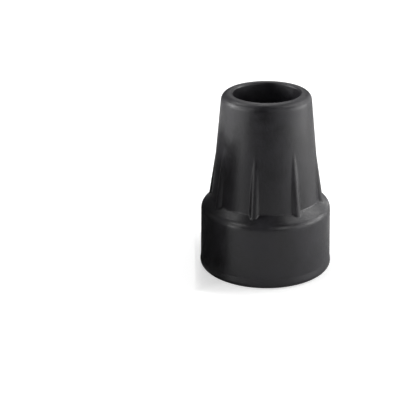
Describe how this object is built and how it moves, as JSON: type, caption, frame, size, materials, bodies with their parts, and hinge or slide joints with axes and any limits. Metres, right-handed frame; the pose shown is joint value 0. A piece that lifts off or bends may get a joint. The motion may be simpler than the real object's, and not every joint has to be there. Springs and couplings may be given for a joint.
{
  "type": "cane tip",
  "caption": "Ribbed rubber ferrule for a walking cane: a tapered neck with a blind round socket above a wide drum base with a dished, ringed tread.",
  "frame": {"origin": "centre of the ground face, on the axis", "axes": "+Z along the socket's axis, from the ground towards the rim; the ribs are spaced evenly from the +X axis"},
  "size_m": [0.0384, 0.0384, 0.0522],
  "materials": {
    "rubber": "satin black moulded rubber"
  },
  "bodies": {
    "root": {"cane_tip": "rubber"}
  },
  "joints": []
}
